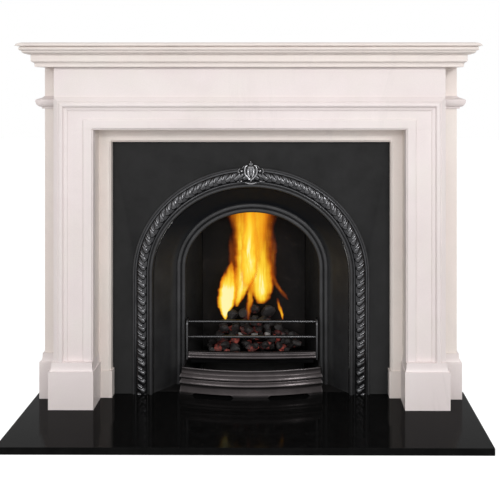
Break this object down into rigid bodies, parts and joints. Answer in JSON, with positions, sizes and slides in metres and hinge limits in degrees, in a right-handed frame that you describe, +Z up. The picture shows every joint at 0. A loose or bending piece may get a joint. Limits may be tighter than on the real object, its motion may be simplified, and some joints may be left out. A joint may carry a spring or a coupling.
{
  "type": "marble fireplace mantel",
  "caption": "Marble fireplace mantel with a moulded shelf, framed pilasters and block feet, round an arched cast-iron register grate on a black granite hearth.",
  "frame": {"origin": "middle of the footprint, on the underside of the hearth", "axes": "+X along the mantel to the viewer's right, +Y from the room into the chimney breast, +Z up"},
  "size_m": [1.5, 0.707, 1.222],
  "materials": {
    "marble": "honed pinkish white marble",
    "granite": "polished black granite",
    "iron": "black-leaded cast iron",
    "firebrick": "sooted firebrick",
    "coal": "matt lumps, grey ash on the edges",
    "steel": "plain steel",
    "pan_steel": "black sheet steel"
  },
  "bodies": {
    "surround": {"hearth_slab": "granite", "back_hearth": "firebrick", "shelf": "marble", "cornice_front": "marble", "cornice_left": "marble", "cornice_right": "marble", "header_face": "marble", "header_soffit": "marble", "header_cheek_left": "marble", "header_cheek_right": "marble", "frame_head": "marble", "frame_leg_left": "marble", "frame_leg_right": "marble", "ground_top": "marble", "ground_left": "marble", "ground_right": "marble", "ground_ear_left": "marble", "ground_ear_right": "marble", "pilaster_face_left": "marble", "pilaster_face_right": "marble", "outer_cheek_left": "marble", "outer_cheek_right": "marble", "inner_cheek_left": "marble", "inner_cheek_right": "marble", "foot_left": "marble", "foot_right": "marble", "ground_plinth_left": "marble", "ground_plinth_right": "marble", "slip_plinth_left": "marble", "slip_plinth_right": "marble", "steel_dowels": "steel", "shelf_brackets": "steel", "register_plate": "iron", "arch_band": "iron", "band_leg_left": "iron", "band_leg_right": "iron", "arch_crest": "iron", "arch_reveal": "iron", "reveal_leg_left": "iron", "reveal_leg_right": "iron", "firebox_frame": "iron", "fireback": "firebrick", "fire_cheek_left": "iron", "fire_cheek_right": "iron", "throat_plate": "iron", "damper_pin": "steel", "frame_bolts": "steel", "bottom_grate": "iron", "coal_bed": "coal"},
    "damper": {"damper_flap": "iron"},
    "bars": {"front_bars": "iron"},
    "cover": {"ash_cover": "iron"},
    "pan": {"ash_pan": "pan_steel", "ash_pan_handle": "steel"}
  },
  "joints": [
    {"name": "damper_hinge", "type": "hinge", "parent": "surround", "child": "damper", "pos_m": [0, 0.2985, 0.682], "axis": [1, 0, 0], "range_deg": [0, 96]},
    {"name": "bars_lift", "type": "slide", "parent": "surround", "child": "bars", "axis": [0, 0, 1], "range_m": [0, 0.04]},
    {"name": "cover_slide", "type": "slide", "parent": "surround", "child": "cover", "axis": [0, -1, 0], "range_m": [0, 0.15]},
    {"name": "pan_slide", "type": "slide", "parent": "surround", "child": "pan", "axis": [0, -1, 0], "range_m": [0, 0.15]}
  ],
  "couplings": [
    {"joint": "pan_slide", "follows": "cover_slide", "ratio": 1}
  ]
}
